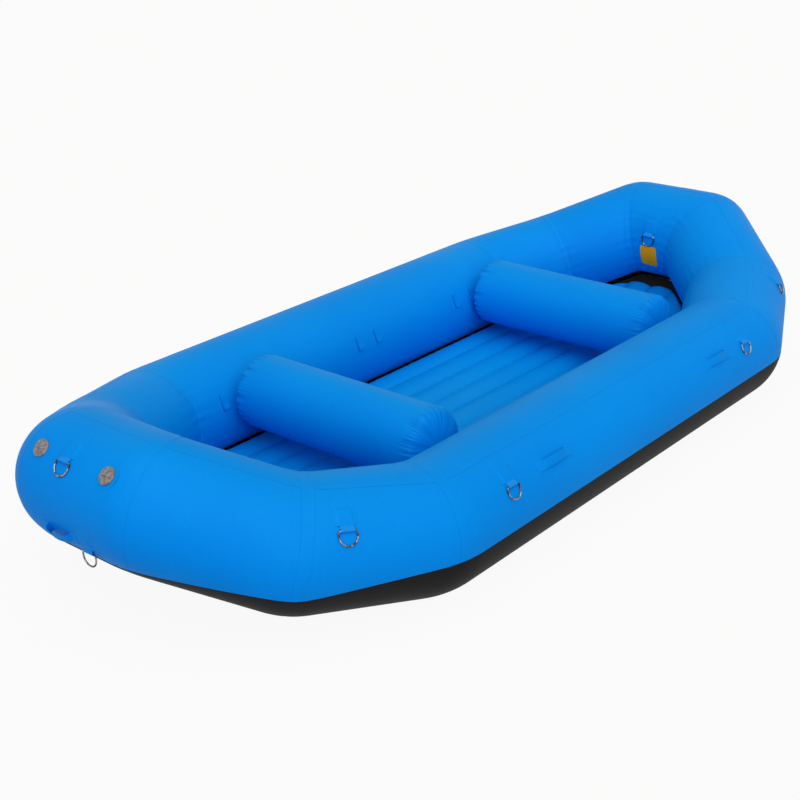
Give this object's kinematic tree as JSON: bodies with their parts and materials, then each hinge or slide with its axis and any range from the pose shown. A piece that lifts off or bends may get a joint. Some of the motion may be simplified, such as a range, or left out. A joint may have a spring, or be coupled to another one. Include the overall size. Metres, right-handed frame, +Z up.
{
  "type": "self-bailing raft",
  "caption": "Inflatable whitewater raft with raised bow and stern, cross thwarts, a channelled air floor laced in to drain, D-rings, grab handles and air valves.",
  "frame": {"origin": "on the ground under the middle of the raft, which is the bottom centre of its box", "axes": "+X towards the stern along the keel line, so the bow is at -X; +Y to starboard; +Z up"},
  "size_m": [4.3336, 2.016, 0.7351],
  "materials": {
    "blue_pvc": "satin",
    "black_pvc": "matte",
    "grey_valve_plastic": "satin",
    "white_valve_plastic": "satin",
    "blue_webbing": "matte",
    "stainless_steel": "gloss"
  },
  "bodies": {
    "hull": {"chamber_bow_port": "blue_pvc", "chamber_bow_starboard": "blue_pvc", "chamber_stern_port": "blue_pvc", "chamber_stern_starboard": "blue_pvc", "baffle_bow": "black_pvc", "baffle_stern": "black_pvc", "baffle_port": "black_pvc", "baffle_starboard": "black_pvc", "chafe_band_port": "black_pvc", "chafe_band_starboard": "black_pvc", "floor": "blue_pvc", "floor_curtain": "black_pvc", "floor_valve": "grey_valve_plastic", "relief_valve": "grey_valve_plastic", "thwart_forward": "blue_pvc", "thwart_aft": "blue_pvc", "thwart_forward_valve": "grey_valve_plastic", "thwart_aft_valve": "grey_valve_plastic", "bow_port_valve_body": "grey_valve_plastic", "bow_starboard_valve_body": "grey_valve_plastic", "stern_port_valve_body": "grey_valve_plastic", "stern_starboard_valve_body": "grey_valve_plastic", "bow_port_quarter_webbing": "blue_webbing", "bow_starboard_quarter_webbing": "blue_webbing", "stern_port_quarter_webbing": "blue_webbing", "stern_starboard_quarter_webbing": "blue_webbing", "bow_port_side_webbing": "blue_webbing", "bow_starboard_side_webbing": "blue_webbing", "stern_port_side_webbing": "blue_webbing", "stern_starboard_side_webbing": "blue_webbing", "bow_top_webbing": "blue_webbing", "bow_low_webbing": "blue_webbing", "stern_top_webbing": "blue_webbing", "stern_inner_webbing": "blue_webbing", "bow_port_handle": "blue_webbing", "bow_starboard_handle": "blue_webbing", "stern_port_handle": "blue_webbing", "stern_starboard_handle": "blue_webbing", "bow_handle": "blue_webbing", "stern_handle": "blue_webbing"},
    "bow_port_quarter_ring_body": {"bow_port_quarter_ring": "stainless_steel"},
    "bow_starboard_quarter_ring_body": {"bow_starboard_quarter_ring": "stainless_steel"},
    "stern_port_quarter_ring_body": {"stern_port_quarter_ring": "stainless_steel"},
    "stern_starboard_quarter_ring_body": {"stern_starboard_quarter_ring": "stainless_steel"},
    "bow_port_side_ring_body": {"bow_port_side_ring": "stainless_steel"},
    "bow_starboard_side_ring_body": {"bow_starboard_side_ring": "stainless_steel"},
    "stern_port_side_ring_body": {"stern_port_side_ring": "stainless_steel"},
    "stern_starboard_side_ring_body": {"stern_starboard_side_ring": "stainless_steel"},
    "bow_top_ring_body": {"bow_top_ring": "stainless_steel"},
    "bow_low_ring_body": {"bow_low_ring": "stainless_steel"},
    "stern_top_ring_body": {"stern_top_ring": "stainless_steel"},
    "stern_inner_ring_body": {"stern_inner_ring": "stainless_steel"},
    "bow_port_cap_body": {"bow_port_valve_cap": "grey_valve_plastic"},
    "bow_starboard_cap_body": {"bow_starboard_valve_cap": "grey_valve_plastic"},
    "stern_port_cap_body": {"stern_port_valve_cap": "grey_valve_plastic"},
    "stern_starboard_cap_body": {"stern_starboard_valve_cap": "grey_valve_plastic"},
    "bow_port_plunger_body": {"bow_port_valve_plunger": "white_valve_plastic"},
    "bow_starboard_plunger_body": {"bow_starboard_valve_plunger": "white_valve_plastic"},
    "stern_port_plunger_body": {"stern_port_valve_plunger": "white_valve_plastic"},
    "stern_starboard_plunger_body": {"stern_starboard_valve_plunger": "white_valve_plastic"}
  },
  "joints": [
    {"name": "bow_port_quarter_ring_swing", "type": "hinge", "parent": "hull", "child": "bow_port_quarter_ring_body", "pos_m": [-1.57612, -0.7935, 0.44398], "axis": [-0.9015, 0.4127, 0.1303], "range_deg": [0, 160]},
    {"name": "bow_starboard_quarter_ring_swing", "type": "hinge", "parent": "hull", "child": "bow_starboard_quarter_ring_body", "pos_m": [-1.57612, 0.7935, 0.44398], "axis": [0.9015, 0.4127, -0.1303], "range_deg": [0, 160]},
    {"name": "stern_port_quarter_ring_swing", "type": "hinge", "parent": "hull", "child": "stern_port_quarter_ring_body", "pos_m": [1.57612, -0.7935, 0.44398], "axis": [-0.9015, -0.4127, -0.1303], "range_deg": [0, 160]},
    {"name": "stern_starboard_quarter_ring_swing", "type": "hinge", "parent": "hull", "child": "stern_starboard_quarter_ring_body", "pos_m": [1.57612, 0.7935, 0.44398], "axis": [0.9015, -0.4127, 0.1303], "range_deg": [0, 160]},
    {"name": "bow_port_side_ring_swing", "type": "hinge", "parent": "hull", "child": "bow_port_side_ring_body", "pos_m": [-0.886, -0.97311, 0.3892], "axis": [-1, 0, 0], "range_deg": [0, 160]},
    {"name": "bow_starboard_side_ring_swing", "type": "hinge", "parent": "hull", "child": "bow_starboard_side_ring_body", "pos_m": [-0.886, 0.97311, 0.3892], "axis": [1, 0, 0], "range_deg": [0, 160]},
    {"name": "stern_port_side_ring_swing", "type": "hinge", "parent": "hull", "child": "stern_port_side_ring_body", "pos_m": [0.886, -0.97311, 0.3892], "axis": [-1, 0, 0], "range_deg": [0, 160]},
    {"name": "stern_starboard_side_ring_swing", "type": "hinge", "parent": "hull", "child": "stern_starboard_side_ring_body", "pos_m": [0.886, 0.97311, 0.3892], "axis": [1, 0, 0], "range_deg": [0, 160]},
    {"name": "bow_top_ring_swing", "type": "hinge", "parent": "hull", "child": "bow_top_ring_body", "pos_m": [-2.08862, 0.04, 0.65702], "axis": [0, 1, 0], "range_deg": [0, 160]},
    {"name": "bow_low_ring_swing", "type": "hinge", "parent": "hull", "child": "bow_low_ring_body", "pos_m": [-2.12003, -0.085, 0.35821], "axis": [0, 1, 0], "range_deg": [-35, 150]},
    {"name": "stern_top_ring_swing", "type": "hinge", "parent": "hull", "child": "stern_top_ring_body", "pos_m": [2.08862, -0.04, 0.65702], "axis": [0, -1, 0], "range_deg": [0, 160]},
    {"name": "stern_inner_ring_swing", "type": "hinge", "parent": "hull", "child": "stern_inner_ring_body", "pos_m": [1.64699, 0, 0.53038], "axis": [0, 1, 0], "range_deg": [0, 160]},
    {"name": "bow_port_cap_turn", "type": "hinge", "parent": "hull", "child": "bow_port_cap_body", "pos_m": [-2.07486, -0.18, 0.66217], "axis": [-0.7071, 0, 0.7071], "range_deg": [0, 90]},
    {"name": "bow_starboard_cap_turn", "type": "hinge", "parent": "hull", "child": "bow_starboard_cap_body", "pos_m": [-2.07486, 0.18, 0.66217], "axis": [-0.7071, 0, 0.7071], "range_deg": [0, 90]},
    {"name": "stern_port_cap_turn", "type": "hinge", "parent": "hull", "child": "stern_port_cap_body", "pos_m": [2.07486, -0.18, 0.66217], "axis": [0.7071, 0, 0.7071], "range_deg": [0, 90]},
    {"name": "stern_starboard_cap_turn", "type": "hinge", "parent": "hull", "child": "stern_starboard_cap_body", "pos_m": [2.07486, 0.18, 0.66217], "axis": [0.7071, 0, 0.7071], "range_deg": [0, 90]},
    {"name": "bow_port_plunger_push", "type": "slide", "parent": "hull", "child": "bow_port_plunger_body", "axis": [0.7071, 0, -0.7071], "range_m": [0, 0.006], "stiffness_N_per_m": 400},
    {"name": "bow_starboard_plunger_push", "type": "slide", "parent": "hull", "child": "bow_starboard_plunger_body", "axis": [0.7071, 0, -0.7071], "range_m": [0, 0.006], "stiffness_N_per_m": 400},
    {"name": "stern_port_plunger_push", "type": "slide", "parent": "hull", "child": "stern_port_plunger_body", "axis": [-0.7071, 0, -0.7071], "range_m": [0, 0.006], "stiffness_N_per_m": 400},
    {"name": "stern_starboard_plunger_push", "type": "slide", "parent": "hull", "child": "stern_starboard_plunger_body", "axis": [-0.7071, 0, -0.7071], "range_m": [0, 0.006], "stiffness_N_per_m": 400}
  ]
}
